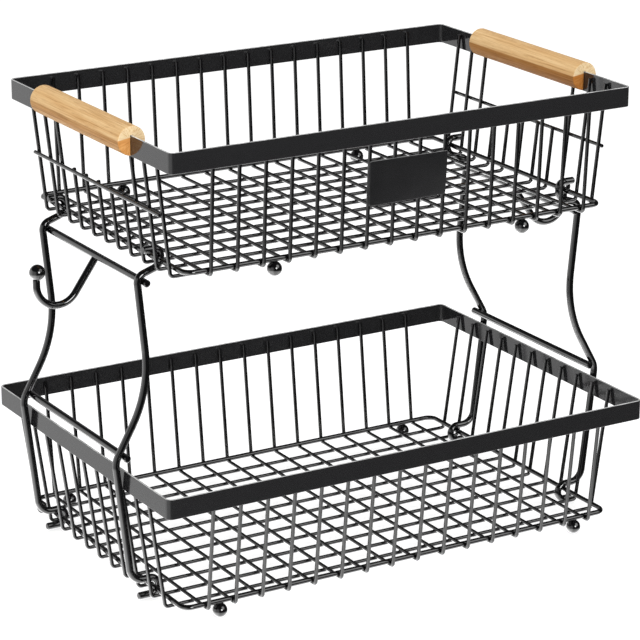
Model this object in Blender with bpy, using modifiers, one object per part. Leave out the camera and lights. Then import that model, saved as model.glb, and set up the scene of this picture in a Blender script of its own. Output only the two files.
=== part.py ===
"""Two-tier storage rack: two wire baskets, one above the other, held apart by four bent wire legs.

The rack stands on the floor at z = 0 with its origin in the middle of its footprint. X runs along
the long side, to the right seen from the front, and Y runs to the back. All lengths are in metres.
"""

import math

import bmesh
import bpy
from mathutils import Vector

RACK_COLLECTION = "two_tier_storage_rack"
CUTTER_COLLECTION = "cutters"

# Gap kept where one piece is fixed to, hooked over or seated in another
CLEARANCE = 0.0003
# How far the cross wires sink into the bottom ring that they are welded to
WELD_DEPTH = 0.0003
# How far a cutter runs past the wood that it cuts
CUT_OVERRUN = 0.002

# Wire, strip and balls that the rack is made of; the ring sinks into a seat in the top of each foot
THIN_WIRE_DIAMETER = 0.0027
RING_WIRE_DIAMETER = 0.0040
LEG_WIRE_DIAMETER = 0.0053
HOOK_WIRE_DIAMETER = 0.0053
STRIP_HEIGHT = 0.0155
STRIP_THICKNESS = 0.0015
STRIP_CORNER_RADIUS = 0.005
FOOT_BALL_DIAMETER = 0.011
FOOT_FLAT_DEPTH = 0.0003
FOOT_SEAT_DEPTH = 0.0004
HOOK_BALL_DIAMETER = 0.012

# Lower basket: outside of its rim, and how far its sides and ends lean out from the bottom ring
LOWER_RIM_LENGTH = 0.420
LOWER_RIM_WIDTH = 0.290
LOWER_BASKET_HEIGHT = 0.1076
LOWER_END_FLARE = 0.0208
LOWER_SIDE_FLARE = 0.0180

# Upper basket: its rim stays inside the lower one by a step all round, so that it nests in it
TIER_STEP = 0.0124
UPPER_BASKET_HEIGHT = 0.1050
UPPER_END_FLARE = 0.0174
UPPER_SIDE_FLARE = 0.0122
UPPER_BASKET_LEVEL = 0.2535

# What the two baskets have in common: wires, evenly spaced between the ends of the bottom ring
CROSS_WIRE_COUNT = 16
SIDE_WIRE_COUNT = 11
WIRE_INSET = 0.0184
LOWER_SIDE_WIRE_SHIFT = 0.0044
UPPER_SIDE_WIRE_SHIFT = -0.0021
RING_CORNER_RADIUS = 0.0075
WIRE_BEND_RADIUS = 0.003
WIRE_TOP_INSET = 0.003
LOWER_FOOT_PITCHES = 0.5
UPPER_FOOT_PITCHES = 2.5

# Guard wires under the handles, and the side wires cut short at them to let the fingers in
GUARD_WIRE_HEIGHT = 0.0531
SHORT_WIRE_COUNT = 5

# Wooden handles, slotted from below over the upper rim
HANDLE_DIAMETER = 0.022
HANDLE_LENGTH = 0.146
HANDLE_LIFT = 0.0005

# Blank label plate on the front of the upper basket
PLATE_WIDTH = 0.0665
PLATE_HEIGHT = 0.0340
PLATE_THICKNESS = 0.001
PLATE_CORNER_RADIUS = 0.0015
PLATE_HEIGHT_ABOVE_FEET = 0.0596

# Brackets: gap between a rear leg and the side wire behind it, and the bends of a leg in its own plane
LEG_GAP = 0.0005
LOWER_CURL_RADIUS = 0.0065
LOWER_STUB_REACH = 0.0098
LOWER_RUN_REACH = 0.0152
LOWER_BEND_RADIUS = 0.011
KNEE_OUTSET = 0.0055
KNEE_RISE = 0.0063
KNEE_BEND_RADIUS = 0.016
WAIST_REACH = 0.0060
WAIST_HEIGHT_SHARE = 0.374
WAIST_BEND_RADIUS = 0.095
UPPER_RUN_SLOPE_DEGREES = 18.5
UPPER_RUN_DROP = 0.0026
UPPER_RUN_LENGTH = 0.0180
SHOULDER_BEND_RADIUS = 0.0068
UPPER_LOOP_BEND_RADIUS = 0.0084
UPPER_CURL_RADIUS = 0.0056
UPPER_STUB_RISE = 0.0064
UPPER_STUB_REACH = 0.0090
ROD_OVERHANG = 0.0023
LOWER_ROD_RISE = 0.0062
UPPER_ROD_DROP = 0.0055

# Utensil hook in the middle of each bracket, measured from the axis of the upper rod
HOOK_SHAFT_SLOPE_DEGREES = 35.2
HOOK_BEND_RADIUS = 0.0172
HOOK_SHAFT_OFFSET = 0.0010
HOOK_UPRIGHT_OUTSET = 0.0488
HOOK_TIP_OUTSET = 0.0479
HOOK_TIP_DROP = 0.0061

# Fineness of the model
TUBE_BEVEL_RESOLUTION = 2
BEND_STEP_DEGREES = 30
LONGEST_CHORD = 0.012
OUTLINE_STEP_DEGREES = 18
HANDLE_SIDES = 32
BALL_SIDES = 12
BALL_RINGS = 8
MERGE_DISTANCE = 0.00001


# Scene and materials


def clear_scene():
    for scene_object in list(bpy.data.objects):
        bpy.data.objects.remove(scene_object, do_unlink=True)


def new_collection(name):
    collection = bpy.data.collections.new(name)
    bpy.context.scene.collection.children.link(collection)
    return collection


def principled_material(name, color, roughness, metallic):
    material = bpy.data.materials.new(name)
    material.use_nodes = True
    shader = material.node_tree.nodes["Principled BSDF"]
    shader.inputs["Base Color"].default_value = (*color, 1)
    shader.inputs["Roughness"].default_value = roughness
    shader.inputs["Metallic"].default_value = metallic
    material.diffuse_color = (*color, 1)
    return material


def place_in_collection(piece, collection):
    for owner in list(piece.users_collection):
        owner.objects.unlink(piece)
    collection.objects.link(piece)


# Paths and outlines


def bend_points(corner, before, after, radius, step):
    """Arc of the given radius that touches both straight runs meeting at a corner."""
    turn = math.pi - before.angle(after)
    tangent_length = radius * math.tan(turn / 2)
    centre = corner + (before + after).normalized() * radius / math.cos(turn / 2)
    start = corner + before * tangent_length - centre
    finish = corner + after * tangent_length - centre
    count = max(2, math.ceil(turn / step), math.ceil(turn * radius / LONGEST_CHORD))
    points = []
    for index in range(count + 1):
        angle = turn * index / count
        spoke = (start * math.sin(turn - angle) + finish * math.sin(angle)) / math.sin(turn)
        points.append(centre + spoke)
    return points


def rounded_path(corners, radii, closed=False, step_degrees=BEND_STEP_DEGREES):
    """Points of a wire that runs straight between the corners and bends at each one."""
    points = []
    last = len(corners) - 1
    for index, corner in enumerate(corners):
        if not closed and index in (0, last):
            points.append(corner)
            continue
        before = (corners[index - 1] - corner).normalized()
        after = (corners[(index + 1) % len(corners)] - corner).normalized()
        step = math.radians(step_degrees)
        points.extend(bend_points(corner, before, after, radii[index], step))
    return points


def rounded_rectangle(length, width, radius, step_degrees=OUTLINE_STEP_DEGREES):
    half_length = length / 2
    half_width = width / 2
    corners = [
        Vector((half_length, half_width, 0)),
        Vector((-half_length, half_width, 0)),
        Vector((-half_length, -half_width, 0)),
        Vector((half_length, -half_width, 0)),
    ]
    return rounded_path(corners, [radius] * len(corners), closed=True, step_degrees=step_degrees)


# Ways to make a piece


def add_splines(curve, paths, closed):
    for points in paths:
        spline = curve.splines.new("POLY")
        spline.points.add(len(points) - 1)
        for spline_point, point in zip(spline.points, points):
            spline_point.co = (*point, 1)
        spline.use_cyclic_u = closed


def add_wires(name, paths, diameter, material, collection, closed=False):
    """One object with a round wire along each of the paths."""
    curve = bpy.data.curves.new(name, "CURVE")
    curve.dimensions = "3D"
    curve.bevel_depth = diameter / 2
    curve.bevel_resolution = TUBE_BEVEL_RESOLUTION
    curve.use_fill_caps = not closed
    add_splines(curve, paths, closed)
    curve.materials.append(material)
    piece = bpy.data.objects.new(name, curve)
    collection.objects.link(piece)
    return piece


def add_flat_outline(name, outlines, thickness, material, collection):
    """A flat piece with the given outline, and a second outline inside it as its opening."""
    curve = bpy.data.curves.new(name, "CURVE")
    curve.dimensions = "2D"
    curve.fill_mode = "BOTH"
    curve.extrude = thickness / 2
    add_splines(curve, outlines, closed=True)
    curve.materials.append(material)
    piece = bpy.data.objects.new(name, curve)
    collection.objects.link(piece)
    return piece


def turned_ball_mesh(name, diameter, flat_depth, material):
    """Profile of a ball with a flat underside, from its top down to the middle of the flat."""
    radius = diameter / 2
    flat_level = flat_depth - radius
    last_angle = math.acos(flat_level / radius)
    profile = []
    for index in range(BALL_RINGS):
        angle = last_angle * index / (BALL_RINGS - 1)
        profile.append((radius * math.sin(angle), 0, radius * math.cos(angle)))
    profile.append((0, 0, flat_level))
    edges = [(index, index + 1) for index in range(len(profile) - 1)]
    mesh = bpy.data.meshes.new(name)
    mesh.from_pydata(profile, edges, [])
    mesh.materials.append(material)
    return mesh


def add_turned_ball(name, mesh, location, collection):
    piece = bpy.data.objects.new(name, mesh)
    piece.location = location
    collection.objects.link(piece)
    screw = piece.modifiers.new("Screw", "SCREW")
    screw.axis = "Z"
    screw.angle = math.tau
    screw.steps = BALL_SIDES
    screw.render_steps = BALL_SIDES
    screw.use_merge_vertices = True
    screw.merge_threshold = MERGE_DISTANCE
    screw.use_smooth_shade = True
    return piece


def add_box_cutter(name, low, high, collection):
    low = Vector(low)
    high = Vector(high)
    bpy.ops.mesh.primitive_cube_add(size=1, location=(low + high) / 2)
    cutter = bpy.context.object
    cutter.name = name
    cutter.scale = high - low
    bpy.ops.object.transform_apply(location=False, rotation=False, scale=True)
    hide_as_cutter(cutter, collection)
    return cutter


def mesh_from_curve(piece):
    """The curve's surface as a mesh object with welded caps, in the place of the curve."""
    evaluated = piece.evaluated_get(bpy.context.evaluated_depsgraph_get())
    mesh = bpy.data.meshes.new_from_object(evaluated)
    welder = bmesh.new()
    welder.from_mesh(mesh)
    bmesh.ops.remove_doubles(welder, verts=welder.verts, dist=MERGE_DISTANCE)
    welder.to_mesh(mesh)
    welder.free()
    name = piece.name
    owner = piece.users_collection[0]
    place = piece.matrix_world.copy()
    bpy.data.objects.remove(piece, do_unlink=True)
    solid = bpy.data.objects.new(name, mesh)
    solid.matrix_world = place
    owner.objects.link(solid)
    return solid


def hide_as_cutter(piece, collection):
    piece.hide_render = True
    piece.display_type = "WIRE"
    place_in_collection(piece, collection)


def join_or_cut(piece, other, operation):
    modifier = piece.modifiers.new(other.name, "BOOLEAN")
    modifier.operation = operation
    modifier.solver = "EXACT"
    modifier.object = other


# Sizes of a basket that follow from its driving dimensions


class Basket:
    """Levels and places of one basket, worked out from the floor up."""

    def __init__(self, name, rim, flare, height, level, side_wire_shift, foot_pitches):
        self.name = name
        self.rim_length, self.rim_width = rim
        end_flare, side_flare = flare
        self.ring_length = self.rim_length - 2 * end_flare
        self.ring_width = self.rim_width - 2 * side_flare
        self.level = level
        self.rim_top = level + height
        self.rim_bottom = self.rim_top - STRIP_HEIGHT
        self.wire_top = self.rim_top - WIRE_TOP_INSET
        self.ball_centre = level + FOOT_BALL_DIAMETER / 2 - FOOT_FLAT_DEPTH
        ball_top = self.ball_centre + FOOT_BALL_DIAMETER / 2
        self.ring_level = ball_top - FOOT_SEAT_DEPTH + RING_WIRE_DIAMETER / 2
        beside = (RING_WIRE_DIAMETER + THIN_WIRE_DIAMETER) / 2
        self.cross_level = self.ring_level - beside + WELD_DEPTH
        self.side_level = self.cross_level - THIN_WIRE_DIAMETER - CLEARANCE
        ring_to_wire = beside + CLEARANCE
        self.side_foot = self.ring_length / 2 + ring_to_wire
        self.cross_foot = self.ring_width / 2 + ring_to_wire
        rim_to_wire = STRIP_THICKNESS + CLEARANCE + THIN_WIRE_DIAMETER / 2
        self.side_head = self.rim_length / 2 - rim_to_wire
        self.cross_head = self.rim_width / 2 - rim_to_wire
        cross_pitch = (self.ring_length - 2 * WIRE_INSET) / (CROSS_WIRE_COUNT - 1)
        self.cross_places = evenly_spaced(CROSS_WIRE_COUNT, cross_pitch)
        self.foot_place = self.cross_places[-1] - foot_pitches * cross_pitch
        self.side_pitch = (self.ring_width - 2 * WIRE_INSET) / (SIDE_WIRE_COUNT - 1)
        self.side_places = evenly_spaced(SIDE_WIRE_COUNT, self.side_pitch, side_wire_shift)

    def side_reach(self, height):
        """Distance from the middle to a side wire's upright part at the given height."""
        share = (height - self.side_level) / (self.wire_top - self.side_level)
        return self.side_foot + (self.side_head - self.side_foot) * share

    def cross_reach(self, height):
        """Distance from the middle to a cross wire's upright part at the given height."""
        share = (height - self.cross_level) / (self.wire_top - self.cross_level)
        return self.cross_foot + (self.cross_head - self.cross_foot) * share


def evenly_spaced(count, pitch, middle=0):
    return [middle + (index - (count - 1) / 2) * pitch for index in range(count)]


LOWER_BASKET = Basket(
    "lower",
    rim=(LOWER_RIM_LENGTH, LOWER_RIM_WIDTH),
    flare=(LOWER_END_FLARE, LOWER_SIDE_FLARE),
    height=LOWER_BASKET_HEIGHT,
    level=0,
    side_wire_shift=LOWER_SIDE_WIRE_SHIFT,
    foot_pitches=LOWER_FOOT_PITCHES,
)
UPPER_BASKET = Basket(
    "upper",
    rim=(LOWER_RIM_LENGTH - 2 * TIER_STEP, LOWER_RIM_WIDTH - 2 * TIER_STEP),
    flare=(UPPER_END_FLARE, UPPER_SIDE_FLARE),
    height=UPPER_BASKET_HEIGHT,
    level=UPPER_BASKET_LEVEL,
    side_wire_shift=UPPER_SIDE_WIRE_SHIFT,
    foot_pitches=UPPER_FOOT_PITCHES,
)


def middle_of_front_gap(basket):
    """Place midway between the second and the third side wire from the front."""
    return (basket.side_places[1] + basket.side_places[2]) / 2


# The front legs stand in the second gap between side wires, and the rear legs close before the
# last side wire but one of the lower basket
LEG_TO_WIRE = (LEG_WIRE_DIAMETER + THIN_WIRE_DIAMETER) / 2 + CLEARANCE
FRONT_LEG_PLACE = (middle_of_front_gap(LOWER_BASKET) + middle_of_front_gap(UPPER_BASKET)) / 2
REAR_LEG_PLACE = LOWER_BASKET.side_places[-2] - LEG_TO_WIRE - LEG_GAP
LEG_SPACING = REAR_LEG_PLACE - FRONT_LEG_PLACE
BRACKET_MIDDLE = (REAR_LEG_PLACE + FRONT_LEG_PLACE) / 2


# Basket pieces


def add_rim_band(basket, material, collection):
    outer = rounded_rectangle(basket.rim_length, basket.rim_width, STRIP_CORNER_RADIUS)
    inner = rounded_rectangle(
        basket.rim_length - 2 * STRIP_THICKNESS,
        basket.rim_width - 2 * STRIP_THICKNESS,
        STRIP_CORNER_RADIUS - STRIP_THICKNESS,
    )
    name = f"{basket.name}_rim_band"
    band = add_flat_outline(name, [outer, inner], STRIP_HEIGHT, material, collection)
    band.location.z = (basket.rim_top + basket.rim_bottom) / 2


def basket_wire_path(foot, head, bottom, top):
    """Half outline of a basket: up one side, across the bottom and up the other, as (out, up)."""
    return [(-head, top), (-foot, bottom), (foot, bottom), (head, top)]


def side_wire_path(basket, place, top):
    corners = basket_wire_path(basket.side_foot, basket.side_reach(top), basket.side_level, top)
    points = [Vector((out, place, up)) for out, up in corners]
    return rounded_path(points, [WIRE_BEND_RADIUS] * len(points))


def cross_wire_path(basket, place):
    corners = basket_wire_path(
        basket.cross_foot, basket.cross_head, basket.cross_level, basket.wire_top
    )
    points = [Vector((place, out, up)) for out, up in corners]
    return rounded_path(points, [WIRE_BEND_RADIUS] * len(points))


def add_ring(name, basket, diameter, material, collection):
    outline = rounded_rectangle(
        basket.ring_length, basket.ring_width, RING_CORNER_RADIUS, step_degrees=BEND_STEP_DEGREES
    )
    ring = add_wires(name, [outline], diameter, material, collection, closed=True)
    ring.location.z = basket.ring_level
    return mesh_from_curve(ring)


def add_ring_and_cross_wires(basket, material, collection, cutters):
    """Bottom ring, with the wires that run from front to back under it and up both long sides."""
    name = f"{basket.name}_ring_and_cross_wires"
    ring = add_ring(name, basket, RING_WIRE_DIAMETER, material, collection)
    paths = [cross_wire_path(basket, place) for place in basket.cross_places]
    wires = add_wires(f"{name}_uprights", paths, THIN_WIRE_DIAMETER, material, collection)
    wires = mesh_from_curve(wires)
    join_or_cut(ring, wires, "UNION")
    hide_as_cutter(wires, cutters)


def ends_at_guard(index):
    """Whether the side wire with this number is one of the middle ones, cut short."""
    first_short = (SIDE_WIRE_COUNT - SHORT_WIRE_COUNT) // 2
    return first_short <= index < first_short + SHORT_WIRE_COUNT


def add_side_wires(basket, material, collection, guard_top=None):
    """Wires that run from left to right below the cross wires and up both short sides."""
    for index, place in enumerate(basket.side_places):
        cut_short = guard_top is not None and ends_at_guard(index)
        top = guard_top if cut_short else basket.wire_top
        path = side_wire_path(basket, place, top)
        name = f"{basket.name}_side_wire_{index + 1:02d}"
        add_wires(name, [path], THIN_WIRE_DIAMETER, material, collection)


def add_feet(basket, mesh, material, collection, cutters):
    """Balls under the front and rear runs of the ring, each midway between two cross wires."""
    seat_diameter = RING_WIRE_DIAMETER + 2 * CLEARANCE
    seat = add_ring(f"{basket.name}_foot_seats", basket, seat_diameter, material, cutters)
    hide_as_cutter(seat, cutters)
    for along, side in ((-1, "left"), (1, "right")):
        for across, end in ((-1, "front"), (1, "rear")):
            place = (
                along * basket.foot_place,
                across * basket.ring_width / 2,
                basket.ball_centre,
            )
            ball = add_turned_ball(f"{basket.name}_foot_{end}_{side}", mesh, place, collection)
            join_or_cut(ball, seat, "DIFFERENCE")


def add_guard_wire(side, name, basket, material, collection):
    """Level wire across the outside of all the side wires, at half height below a handle."""
    height = basket.level + GUARD_WIRE_HEIGHT
    lean = math.atan2(
        basket.side_head - basket.side_foot, basket.wire_top - basket.side_level
    )
    out = basket.side_reach(height) + (THIN_WIRE_DIAMETER + CLEARANCE) / math.cos(lean)
    front = basket.side_places[0] - THIN_WIRE_DIAMETER / 2
    rear = basket.side_places[-1] + THIN_WIRE_DIAMETER / 2
    path = [Vector((side * out, front, height)), Vector((side * out, rear, height))]
    add_wires(name, [path], THIN_WIRE_DIAMETER, material, collection)


def add_handle(side, name, basket, material, collection, cutters):
    """Dowel pushed down over the rim, with a slot for the strip and a pocket for each tall wire."""
    centre = basket.rim_length / 2 - STRIP_THICKNESS / 2
    level = basket.rim_bottom + HANDLE_LIFT + HANDLE_DIAMETER / 2
    bpy.ops.mesh.primitive_cylinder_add(
        vertices=HANDLE_SIDES,
        radius=HANDLE_DIAMETER / 2,
        depth=HANDLE_LENGTH,
        location=(side * centre, 0, level),
        rotation=(math.pi / 2, 0, 0),
    )
    handle = bpy.context.object
    handle.name = name
    handle.data.materials.append(material)
    handle.data.shade_smooth()
    handle.data.set_sharp_from_angle(angle=math.radians(BEND_STEP_DEGREES))
    place_in_collection(handle, collection)

    under = level - HANDLE_DIAMETER / 2 - CUT_OVERRUN
    half_slot = STRIP_THICKNESS / 2 + CLEARANCE
    half_run = HANDLE_LENGTH / 2 + CUT_OVERRUN
    slot = add_box_cutter(
        f"{name}_slot",
        (side * centre - half_slot, -half_run, under),
        (side * centre + half_slot, half_run, basket.rim_top + CLEARANCE),
        cutters,
    )
    join_or_cut(handle, slot, "DIFFERENCE")

    half_pocket = THIN_WIRE_DIAMETER / 2 + CLEARANCE
    nearest = basket.side_reach(under) - half_pocket
    pocket_edges = sorted((side * nearest, side * centre))
    for index in tall_wires_under_handle(basket):
        place = basket.side_places[index]
        pocket = add_box_cutter(
            f"{name}_pocket_{index}",
            (pocket_edges[0], place - half_pocket, under),
            (pocket_edges[1], place + half_pocket, basket.wire_top + CLEARANCE),
            cutters,
        )
        join_or_cut(handle, pocket, "DIFFERENCE")


def tall_wires_under_handle(basket):
    """Numbers of the side wires that reach the rim within the length of a handle."""
    reach = HANDLE_LENGTH / 2 + THIN_WIRE_DIAMETER / 2 + CLEARANCE
    found = []
    for index, place in enumerate(basket.side_places):
        if not ends_at_guard(index) and abs(place) < reach:
            found.append(index)
    return found


def add_label_plate(basket, material, collection):
    """Blank plate against the front cross wires, leaning with them."""
    height = basket.level + PLATE_HEIGHT_ABOVE_FEET
    lean = math.atan2(
        basket.cross_head - basket.cross_foot, basket.wire_top - basket.cross_level
    )
    stand_off = THIN_WIRE_DIAMETER / 2 + CLEARANCE + PLATE_THICKNESS / 2
    outline = rounded_rectangle(PLATE_WIDTH, PLATE_HEIGHT, PLATE_CORNER_RADIUS)
    plate = add_flat_outline("label_plate", [outline], PLATE_THICKNESS, material, collection)
    plate.location = (0, -basket.cross_reach(height) - stand_off / math.cos(lean), height)
    plate.rotation_euler.x = math.pi / 2 + lean


# Bracket pieces


def leg_corners():
    """Corners and bend radii of a leg on the +X side, as (out, up), from the lower end up."""
    seat = (RING_WIRE_DIAMETER + LEG_WIRE_DIAMETER) / 2 + CLEARANCE

    lower_ring = LOWER_BASKET.ring_length / 2
    run_level = LOWER_BASKET.ring_level + seat
    stub_level = run_level - 2 * LOWER_CURL_RADIUS
    lower_curl = lower_ring - LOWER_CURL_RADIUS

    rim_face = LOWER_BASKET.rim_length / 2
    knee = (rim_face + KNEE_OUTSET, LOWER_BASKET.rim_top + KNEE_RISE)

    slope = math.radians(UPPER_RUN_SLOPE_DEGREES)
    upper_ring = UPPER_BASKET.ring_length / 2
    run_distance = seat + UPPER_RUN_DROP
    run_start = (
        upper_ring - run_distance * math.sin(slope),
        UPPER_BASKET.ring_level - run_distance * math.cos(slope),
    )
    shoulder = (
        run_start[0] + UPPER_RUN_LENGTH * math.cos(slope),
        run_start[1] - UPPER_RUN_LENGTH * math.sin(slope),
    )
    upper_curl = upper_ring - seat
    run_foot = run_start[1] + (run_start[0] - upper_curl) * math.tan(slope)
    waist = (
        upper_ring + WAIST_REACH,
        knee[1] + (shoulder[1] - knee[1]) * WAIST_HEIGHT_SHARE,
    )
    upper_stub_level = UPPER_BASKET.ring_level + UPPER_STUB_RISE

    return [
        (lower_ring + LOWER_STUB_REACH, stub_level, 0),
        (lower_curl, stub_level, LOWER_CURL_RADIUS),
        (lower_curl, run_level, LOWER_CURL_RADIUS),
        (lower_ring + LOWER_RUN_REACH, run_level, LOWER_BEND_RADIUS),
        (*knee, KNEE_BEND_RADIUS),
        (*waist, WAIST_BEND_RADIUS),
        (*shoulder, SHOULDER_BEND_RADIUS),
        (upper_curl, run_foot, UPPER_LOOP_BEND_RADIUS),
        (upper_curl, upper_stub_level, UPPER_CURL_RADIUS),
        (upper_ring + UPPER_STUB_REACH, upper_stub_level, 0),
    ]


KNEE_INDEX = 4
WAIST_INDEX = 5
SHOULDER_INDEX = 6


def corner_points(corners, side):
    return [Vector((side * out, 0, up)) for out, up, radius in corners]


def rod_place(side, corner_index, next_index, distance):
    """Axis of a rod on the inner side of both legs, at a distance along the run from a corner."""
    points = corner_points(leg_corners(), side)
    along = (points[next_index] - points[corner_index]).normalized()
    inward = Vector((-side * abs(along.z), 0, side * along.x * math.copysign(1, along.z)))
    on_run = points[corner_index] + along * distance
    return on_run + inward * (LEG_WIRE_DIAMETER + CLEARANCE)


def lower_rod_place(side):
    return rod_place(side, KNEE_INDEX, WAIST_INDEX, LOWER_ROD_RISE)


def upper_rod_place(side):
    return rod_place(side, SHOULDER_INDEX, WAIST_INDEX, UPPER_ROD_DROP)


def add_legs(side, name, material, collection):
    corners = leg_corners()
    radii = [radius for out, up, radius in corners]
    path = rounded_path(corner_points(corners, side), radii)
    for place, end in ((FRONT_LEG_PLACE, "front"), (REAR_LEG_PLACE, "rear")):
        leg = add_wires(f"{name}_{end}_leg", [path], LEG_WIRE_DIAMETER, material, collection)
        leg.location.y = place


def add_rod(name, place, material, collection):
    end = LEG_SPACING / 2 + LEG_WIRE_DIAMETER / 2 + ROD_OVERHANG
    path = [Vector((place.x, -end, place.z)), Vector((place.x, end, place.z))]
    rod = add_wires(name, [path], LEG_WIRE_DIAMETER, material, collection)
    rod.location.y = BRACKET_MIDDLE


def add_hook(side, name, material, collection):
    """J-shaped hook that hangs out from the underside of the upper rod."""
    rod = upper_rod_place(side)
    slope = math.radians(HOOK_SHAFT_SLOPE_DEGREES)
    shaft = Vector((side * math.sin(slope), 0, -math.cos(slope)))
    below = Vector((-side * math.cos(slope), 0, -math.sin(slope)))
    off_rod = rod + below * HOOK_SHAFT_OFFSET
    start = off_rod + shaft * (LEG_WIRE_DIAMETER / 2 + CLEARANCE)
    upright_run = HOOK_UPRIGHT_OUTSET + HOOK_SHAFT_OFFSET * math.cos(slope)
    corner = off_rod + shaft * upright_run / math.sin(slope)
    tip = rod + Vector((side * HOOK_TIP_OUTSET, 0, -HOOK_TIP_DROP))
    upright = rod.x + side * HOOK_UPRIGHT_OUTSET
    end = Vector((upright, 0, tip.z - HOOK_BALL_DIAMETER / 2 - CLEARANCE))
    path = rounded_path([start, corner, end], [0, HOOK_BEND_RADIUS, 0])
    hook = add_wires(f"{name}_hook", [path], HOOK_WIRE_DIAMETER, material, collection)
    hook.location.y = BRACKET_MIDDLE

    bpy.ops.mesh.primitive_uv_sphere_add(
        segments=BALL_SIDES,
        ring_count=BALL_RINGS,
        radius=HOOK_BALL_DIAMETER / 2,
        location=(tip.x, BRACKET_MIDDLE, tip.z),
    )
    ball = bpy.context.object
    ball.name = f"{name}_hook_ball"
    ball.data.materials.append(material)
    ball.data.shade_smooth()
    place_in_collection(ball, collection)


# Assembly


def build_rack():
    clear_scene()
    rack = new_collection(RACK_COLLECTION)
    cutters = new_collection(CUTTER_COLLECTION)
    wire_paint = principled_material("black_wire_paint", (0.012, 0.012, 0.012), 0.32, 0)
    strip_paint = principled_material("black_strip_paint", (0.016, 0.016, 0.016), 0.36, 0)
    plate_paint = principled_material("black_plate_paint", (0.010, 0.010, 0.010), 0.45, 0)
    wood = principled_material("pale_dowel_wood", (0.72, 0.46, 0.20), 0.55, 0)
    foot_mesh = turned_ball_mesh("foot_ball", FOOT_BALL_DIAMETER, FOOT_FLAT_DEPTH, wire_paint)

    for basket in (LOWER_BASKET, UPPER_BASKET):
        add_rim_band(basket, strip_paint, rack)
        add_ring_and_cross_wires(basket, wire_paint, rack, cutters)
        add_feet(basket, foot_mesh, wire_paint, rack, cutters)
    guard_top = UPPER_BASKET.level + GUARD_WIRE_HEIGHT + THIN_WIRE_DIAMETER / 2
    add_side_wires(LOWER_BASKET, wire_paint, rack)
    add_side_wires(UPPER_BASKET, wire_paint, rack, guard_top)
    add_label_plate(UPPER_BASKET, plate_paint, rack)

    for side, name in ((-1, "left"), (1, "right")):
        add_guard_wire(side, f"{name}_guard_wire", UPPER_BASKET, wire_paint, rack)
        add_handle(side, f"{name}_handle", UPPER_BASKET, wood, rack, cutters)
        add_legs(side, name, wire_paint, rack)
        add_rod(f"{name}_upper_rod", upper_rod_place(side), wire_paint, rack)
        add_rod(f"{name}_lower_rod", lower_rod_place(side), wire_paint, rack)
        add_hook(side, name, wire_paint, rack)


build_rack()
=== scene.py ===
"""Looks of the two-tier wire rack: fine pieces, their finishes and a plain white studio.

Every piece lies where its CAD node lies. Lengths are in metres, the colours are sRGB hex values.
"""

import math

import bmesh
import bpy
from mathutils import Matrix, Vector


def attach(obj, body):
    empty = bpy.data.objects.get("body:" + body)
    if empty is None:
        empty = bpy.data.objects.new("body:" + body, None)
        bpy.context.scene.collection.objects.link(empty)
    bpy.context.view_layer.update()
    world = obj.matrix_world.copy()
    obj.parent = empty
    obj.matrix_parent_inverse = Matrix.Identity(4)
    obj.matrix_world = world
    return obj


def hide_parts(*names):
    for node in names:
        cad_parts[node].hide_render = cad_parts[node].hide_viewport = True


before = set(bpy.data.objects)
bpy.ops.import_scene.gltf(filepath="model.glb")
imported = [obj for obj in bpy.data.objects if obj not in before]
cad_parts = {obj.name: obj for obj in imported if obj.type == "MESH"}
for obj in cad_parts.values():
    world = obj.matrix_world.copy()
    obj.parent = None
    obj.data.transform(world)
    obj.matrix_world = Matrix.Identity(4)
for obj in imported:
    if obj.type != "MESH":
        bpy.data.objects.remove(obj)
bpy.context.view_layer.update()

# The one rigid body, and the gap that the CAD keeps between pieces that touch
BODY = "root"
GAP = 0.0003

# Stock that the rack is made of
THIN_WIRE = 0.0027
RING_WIRE = 0.0040
LEG_WIRE = 0.0053
HOOK_WIRE = 0.0053
STRIP_THICKNESS = 0.0015
STRIP_HEIGHT = 0.0155
STRIP_CORNER = 0.005
FOOT_BALL = 0.011
FOOT_FLAT = 0.0003
FOOT_SEAT = 0.0004
HOOK_BALL = 0.012
RING_CORNER = 0.0075
WIRE_BEND = 0.003
WIRE_TOP_INSET = 0.003
RING_SINK = 0.0003
# How far welded ends sink in here, and how much thicker wires are, where the CAD keeps its gap
WELD_BITE = 0.0008
WELD_FILL = 0.00025

# The wires of a basket
WIRE_INSET = 0.0184
CROSS_WIRES = 16
SIDE_WIRES = 11
SHORT_WIRES = 5

# The two baskets, from the floor up
BASKETS = {
    "lower": {
        "rim": (0.420, 0.290),
        "flare": (0.0208, 0.0180),
        "level": 0,
        "height": 0.1076,
        "side_shift": 0.0044,
        "foot_pitches": 0.5,
    },
    "upper": {
        "rim": (0.3952, 0.2652),
        "flare": (0.0174, 0.0122),
        "level": 0.2535,
        "height": 0.1050,
        "side_shift": -0.0021,
        "foot_pitches": 2.5,
    },
}

# Guards, handles and label plate
GUARD_HEIGHT = 0.0531
HANDLE_DIAMETER = 0.022
HANDLE_LENGTH = 0.146
HANDLE_LIFT = 0.0005
# Wires nearer to the middle than this are the short ones, which don't reach the handle
FIRST_POCKET = 0.055
PLATE_SIZE = (0.0665, 0.001, 0.0340)
PLATE_CORNER = 0.0015
PLATE_HEIGHT = 0.0596
# How far the plate is pressed out of true, in degrees from edge to edge
PLATE_BOW = 3
PLATE_TWIST = 3

# Lower end of a leg: an open curl round the lower ring, then a run out to the knee
LOWER_CURL = 0.0065
LOWER_STUB_REACH = 0.0098
LOWER_RUN_REACH = 0.0152
LOWER_BEND = 0.011
# The knee clears the lower rim, and the waist is the long inward bow above it
KNEE_OUTSET = 0.0055
KNEE_RISE = 0.0063
KNEE_BEND = 0.016
WAIST_REACH = 0.0060
WAIST_HEIGHT_SHARE = 0.374
WAIST_BEND = 0.095
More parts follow.
